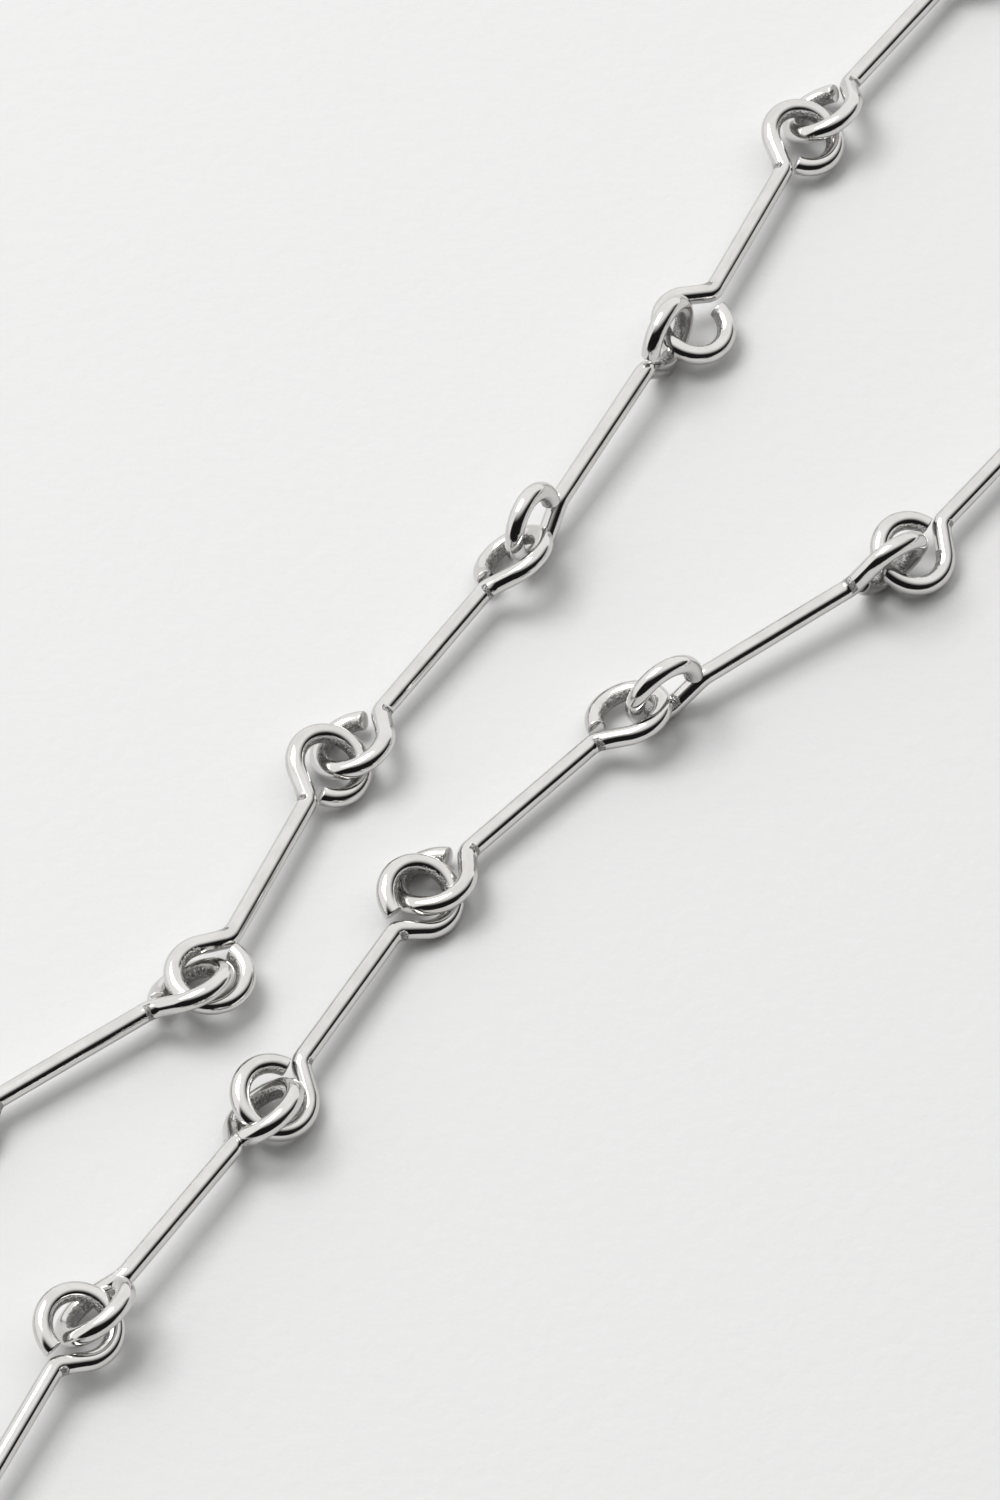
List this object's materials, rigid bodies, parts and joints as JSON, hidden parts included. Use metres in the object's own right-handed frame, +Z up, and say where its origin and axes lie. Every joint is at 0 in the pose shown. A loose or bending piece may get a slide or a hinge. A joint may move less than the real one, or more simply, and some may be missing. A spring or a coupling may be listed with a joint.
{
  "type": "eyeglasses chain strap",
  "caption": "Spectacle retaining chain of bent-wire bar links with open hooked eyes, ending in jump rings, caps and rubber temple loops with sliders.",
  "frame": {"origin": "on the table under the middle link, the one that rests on the nape of the neck", "axes": "+Z up from the table; the two strands run away from the middle link towards +X +Y"},
  "size_m": [0.2343, 0.1885, 0.006],
  "materials": {
    "wire": "bright polished nickel plate on round wire, with fine draw lines and plier marks at the eyes",
    "ring_wire": "bright polished plate on round wire",
    "turned_silver": "polished plate over fine turning lines",
    "rubber": "smooth matt moulded silicone rubber"
  },
  "bodies": {
    "link_01": {"link_01": "wire"},
    "link_02": {"link_02": "wire"},
    "link_03": {"link_03": "wire"},
    "link_04": {"link_04": "wire"},
    "link_05": {"link_05": "wire"},
    "link_06": {"link_06": "wire"},
    "link_07": {"link_07": "wire"},
    "link_08": {"link_08": "wire"},
    "link_09": {"link_09": "wire"},
    "link_10": {"link_10": "wire"},
    "link_11": {"link_11": "wire"},
    "link_12": {"link_12": "wire"},
    "link_13": {"link_13": "wire"},
    "link_14": {"link_14": "wire"},
    "link_15": {"link_15": "wire"},
    "link_16": {"link_16": "wire"},
    "link_17": {"link_17": "wire"},
    "link_18": {"link_18": "wire"},
    "link_19": {"link_19": "wire"},
    "link_20": {"link_20": "wire"},
    "link_21": {"link_21": "wire"},
    "link_22": {"link_22": "wire"},
    "link_23": {"link_23": "wire"},
    "link_24": {"link_24": "wire"},
    "link_25": {"link_25": "wire"},
    "link_26": {"link_26": "wire"},
    "link_27": {"link_27": "wire"},
    "link_28": {"link_28": "wire"},
    "link_29": {"link_29": "wire"},
    "link_30": {"link_30": "wire"},
    "link_31": {"link_31": "wire"},
    "left_jump_ring": {"left_jump_ring": "ring_wire"},
    "left_temple_end": {"left_end_cap": "turned_silver", "left_temple_loop": "rubber"},
    "left_slider": {"left_slider": "turned_silver"},
    "right_jump_ring": {"right_jump_ring": "ring_wire"},
    "right_temple_end": {"right_end_cap": "turned_silver", "right_temple_loop": "rubber"},
    "right_slider": {"right_slider": "turned_silver"}
  },
  "joints": [
    {"name": "left_temple_end_on_left_jump_ring", "type": "hinge", "parent": "left_jump_ring", "child": "left_temple_end", "pos_m": [0.20924, 0.11803, 0.00225], "axis": [0.0502, 0.2021, -0.9781], "range_deg": [-30, 60]},
    {"name": "left_jump_ring_on_link_01", "type": "hinge", "parent": "link_01", "child": "left_jump_ring", "pos_m": [0.20779, 0.12077, 0.00278], "axis": [-0.7892, -0.4463, -0.422], "range_deg": [-75, 75]},
    {"name": "link_01_on_link_02", "type": "hinge", "parent": "link_02", "child": "link_01", "pos_m": [0.19916, 0.13699, 0.00175], "axis": [0.3914, 0.2639, 0.8816], "range_deg": [-75, 75]},
    {"name": "link_02_on_link_03", "type": "hinge", "parent": "link_03", "child": "link_02", "pos_m": [0.18664, 0.15291, 0.00175], "axis": [-0.3596, -0.3018, 0.8829], "range_deg": [-75, 75]},
    {"name": "link_03_on_link_04", "type": "hinge", "parent": "link_04", "child": "link_03", "pos_m": [0.16872, 0.1625, 0.00175], "axis": [-0.2204, -0.4145, -0.8829], "range_deg": [-75, 75]},
    {"name": "link_04_on_link_05", "type": "hinge", "parent": "link_05", "child": "link_04", "pos_m": [0.14853, 0.16318, 0.00175], "axis": [0, -0.4695, 0.8829], "range_deg": [-75, 75]},
    {"name": "link_05_on_link_06", "type": "hinge", "parent": "link_06", "child": "link_05", "pos_m": [0.1305, 0.15387, 0.00175], "axis": [0.2204, -0.4145, -0.8829], "range_deg": [-75, 75]},
    {"name": "link_06_on_link_07", "type": "hinge", "parent": "link_07", "child": "link_06", "pos_m": [0.11753, 0.13836, 0.00175], "axis": [0.3699, -0.289, 0.8829], "range_deg": [-40, 75]},
    {"name": "link_07_on_link_08", "type": "hinge", "parent": "link_08", "child": "link_07", "pos_m": [0.10603, 0.12161, 0.00193], "axis": [-0.4359, 0.3266, 0.8386], "range_deg": [-60, 75]},
    {"name": "link_08_on_link_09", "type": "hinge", "parent": "link_09", "child": "link_08", "pos_m": [0.0951, 0.10106, 0.00299], "axis": [-0.8706, 0.487, -0.0696], "range_deg": [-75, 75]},
    {"name": "link_09_on_link_10", "type": "hinge", "parent": "link_10", "child": "link_09", "pos_m": [0.08599, 0.08504, 0.00295], "axis": [0.8499, -0.4843, 0.2076], "range_deg": [-75, 75]},
    {"name": "link_10_on_link_11", "type": "hinge", "parent": "link_11", "child": "link_10", "pos_m": [0.07411, 0.06786, 0.00164], "axis": [-0.3609, 0.2214, 0.9059], "range_deg": [-35, 75]},
    {"name": "link_11_on_link_12", "type": "hinge", "parent": "link_12", "child": "link_11", "pos_m": [0.06392, 0.04841, 0.0021], "axis": [0.3652, -0.4959, -0.7879], "range_deg": [-75, 75]},
    {"name": "link_12_on_link_13", "type": "hinge", "parent": "link_13", "child": "link_12", "pos_m": [0.04885, 0.03786, 0.00175], "axis": [-0.2558, 0.394, -0.8828], "range_deg": [-75, 10]},
    {"name": "link_13_on_link_14", "type": "hinge", "parent": "link_14", "child": "link_13", "pos_m": [0.02895, 0.03438, 0.00175], "axis": [-0.0653, 0.4649, 0.8829], "range_deg": [0, 75]},
    {"name": "link_14_on_link_15", "type": "hinge", "parent": "link_15", "child": "link_14", "pos_m": [0.00995, 0.0274, 0.00175], "axis": [0.1759, -0.4353, 0.8829], "range_deg": [0, 75]},
    {"name": "link_15_on_link_16", "type": "hinge", "parent": "link_16", "child": "link_15", "pos_m": [-0.00172, 0.01083, 0.00175], "axis": [-0.3892, 0.2625, 0.8829], "range_deg": [0, 75]},
    {"name": "link_17_on_link_16", "type": "hinge", "parent": "link_16", "child": "link_17", "pos_m": [0.00207, -0.00896, 0.00175], "axis": [0.4574, 0.1056, 0.8829], "range_deg": [-75, 0]},
    {"name": "link_18_on_link_17", "type": "hinge", "parent": "link_17", "child": "link_18", "pos_m": [0.01913, -0.01969, 0.00175], "axis": [0.2347, 0.4066, -0.8829], "range_deg": [0, 75]},
    {"name": "link_19_on_link_18", "type": "hinge", "parent": "link_18", "child": "link_19", "pos_m": [0.03801, -0.01323, 0.00175], "axis": [-0.1682, 0.4383, 0.8829], "range_deg": [-75, 75]},
    {"name": "link_20_on_link_19", "type": "hinge", "parent": "link_19", "child": "link_20", "pos_m": [0.04803, 0.00431, 0.00175], "axis": [-0.4145, 0.2204, -0.8829], "range_deg": [0, 75]},
    {"name": "link_21_on_link_20", "type": "hinge", "parent": "link_20", "child": "link_21", "pos_m": [0.05843, 0.02334, 0.00258], "axis": [-0.568, 0.4001, 0.7192], "range_deg": [-75, 75]},
    {"name": "link_22_on_link_21", "type": "hinge", "parent": "link_21", "child": "link_22", "pos_m": [0.06943, 0.03991, 0.00193], "axis": [-0.3345, 0.1698, -0.927], "range_deg": [-12, 75]},
    {"name": "link_23_on_link_22", "type": "hinge", "parent": "link_22", "child": "link_23", "pos_m": [0.07862, 0.05585, 0.00153], "axis": [-0.3345, 0.1698, -0.927], "range_deg": [-75, 75]},
    {"name": "link_24_on_link_23", "type": "hinge", "parent": "link_23", "child": "link_24", "pos_m": [0.09457, 0.07129, 0.003], "axis": [-0.5742, 0.8185, 0.0174], "range_deg": [-75, 75]},
    {"name": "link_25_on_link_24", "type": "hinge", "parent": "link_24", "child": "link_25", "pos_m": [0.10965, 0.08187, 0.00294], "axis": [-0.5683, 0.7916, 0.2247], "range_deg": [-75, 75]},
    {"name": "link_26_on_link_25", "type": "hinge", "parent": "link_25", "child": "link_26", "pos_m": [0.12258, 0.09803, 0.00175], "axis": [-0.3733, 0.2847, -0.8829], "range_deg": [-75, 75]},
    {"name": "link_27_on_link_26", "type": "hinge", "parent": "link_26", "child": "link_27", "pos_m": [0.13947, 0.10935, 0.00175], "axis": [-0.2625, 0.3892, 0.8829], "range_deg": [-75, 75]},
    {"name": "link_28_on_link_27", "type": "hinge", "parent": "link_27", "child": "link_28", "pos_m": [0.15933, 0.10588, 0.00175], "axis": [-0.0976, -0.4592, 0.8829], "range_deg": [-75, 75]},
    {"name": "link_29_on_link_28", "type": "hinge", "parent": "link_28", "child": "link_29", "pos_m": [0.17064, 0.08919, 0.00175], "axis": [-0.3981, -0.2488, -0.8829], "range_deg": [-75, 50]},
    {"name": "link_30_on_link_29", "type": "hinge", "parent": "link_29", "child": "link_30", "pos_m": [0.17063, 0.069, 0.00175], "axis": [-0.4692, 0.0164, 0.8829], "range_deg": [-75, 75]},
    {"name": "link_31_on_link_30", "type": "hinge", "parent": "link_30", "child": "link_31", "pos_m": [0.16302, 0.05015, 0.00175], "axis": [-0.4353, 0.1759, -0.8829], "range_deg": [-75, 75]},
    {"name": "right_jump_ring_on_link_31", "type": "hinge", "parent": "link_31", "child": "right_jump_ring", "pos_m": [0.15224, 0.03304, 0.00278], "axis": [0.7382, -0.5263, -0.422], "range_deg": [-75, 75]},
    {"name": "right_temple_end_on_right_jump_ring", "type": "hinge", "parent": "right_jump_ring", "child": "right_temple_end", "pos_m": [0.15051, 0.03047, 0.00225], "axis": [-0.0288, 0.2063, -0.9781], "range_deg": [-60, 30]},
    {"name": "left_slider_on_legs", "type": "slide", "parent": "left_temple_end", "child": "left_slider", "axis": [0.4695, -0.8829, 0], "range_m": [0, 0.0075]},
    {"name": "right_slider_on_legs", "type": "slide", "parent": "right_temple_end", "child": "right_slider", "axis": [-0.5592, -0.829, 0], "range_m": [0, 0.0075]}
  ]
}
